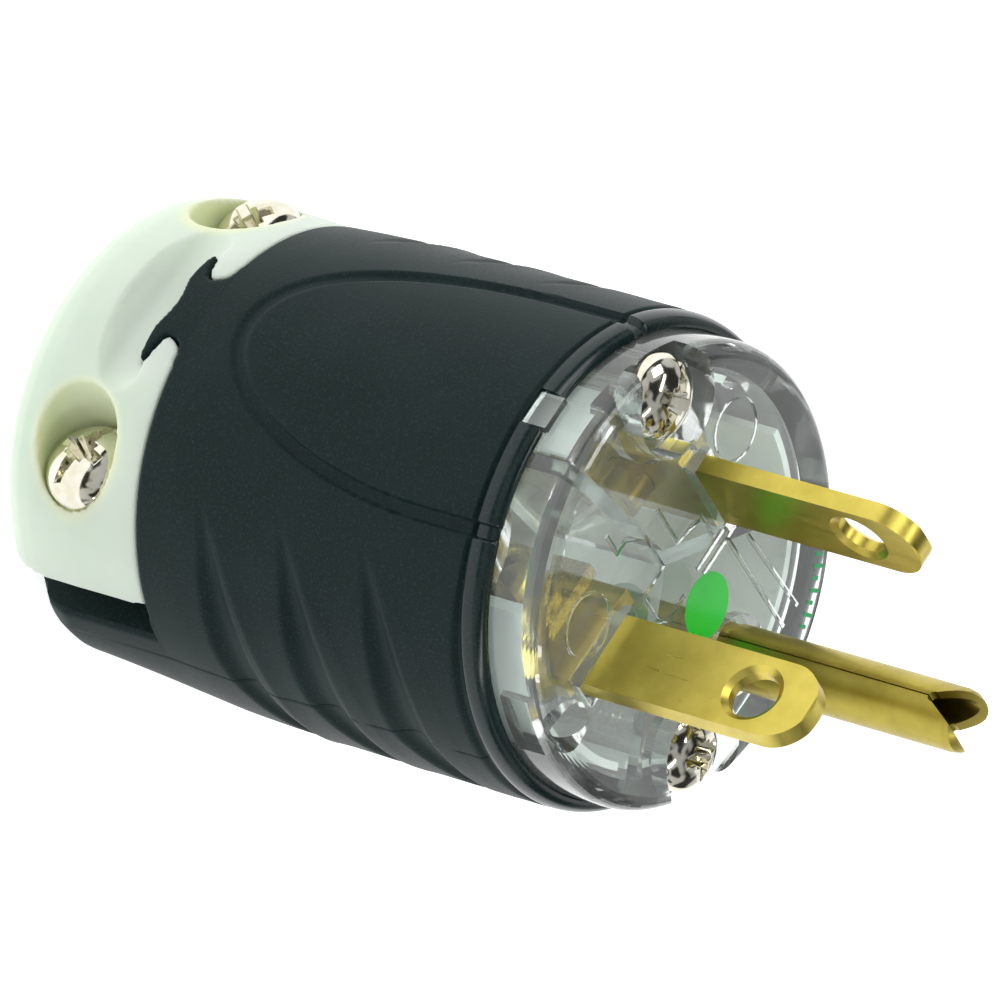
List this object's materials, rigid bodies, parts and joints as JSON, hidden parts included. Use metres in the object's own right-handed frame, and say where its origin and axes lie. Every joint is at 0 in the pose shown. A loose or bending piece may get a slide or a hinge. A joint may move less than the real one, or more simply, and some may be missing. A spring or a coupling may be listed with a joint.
{
  "type": "straight blade plug",
  "caption": "Rewireable straight blade plug with a black nylon shell, clear face, brass line blades and ground pin, and a white screwed cord clamp.",
  "frame": {"origin": "centre of the rear end on the axis of the round body", "axes": "+Z along the blades to the front, +Y away from the ground pin, +X to the right seen from the front with the pin down"},
  "size_m": [0.0374, 0.0374, 0.0724],
  "materials": {
    "shell_nylon": "fine moulded texture",
    "clamp_nylon": "smooth, slightly translucent",
    "face_clear": "clear polycarbonate, polished",
    "carrier_nylon": "smooth",
    "blade_brass": "satin",
    "pin_brass": "drawn, satin",
    "terminal_brass": "turned",
    "terminal_green": "green coated",
    "plate_brass": "stamped",
    "screw_nickel": "nickel plated",
    "insert_brass": "turned",
    "nut_steel": "zinc plated",
    "shield_rubber": "matte"
  },
  "bodies": {
    "root": {"outer_shell": "shell_nylon", "cord_clamp": "clamp_nylon", "face_body": "face_clear", "contact_carrier": "carrier_nylon", "line_blade_vertical": "blade_brass", "line_blade_horizontal": "blade_brass", "ground_pin": "pin_brass", "terminal_screw_vertical": "terminal_brass", "terminal_screw_horizontal": "terminal_brass", "terminal_screw_ground": "terminal_green", "pressure_plate_vertical": "plate_brass", "pressure_plate_horizontal": "plate_brass", "pressure_plate_ground": "plate_brass", "assembly_screw_upper": "screw_nickel", "assembly_screw_lower": "screw_nickel", "insert_upper": "insert_brass", "insert_lower": "insert_brass", "clamp_screw_left": "screw_nickel", "clamp_screw_right": "screw_nickel", "clamp_nut_left": "nut_steel", "clamp_nut_right": "nut_steel", "dust_shield": "shield_rubber"}
  },
  "joints": []
}
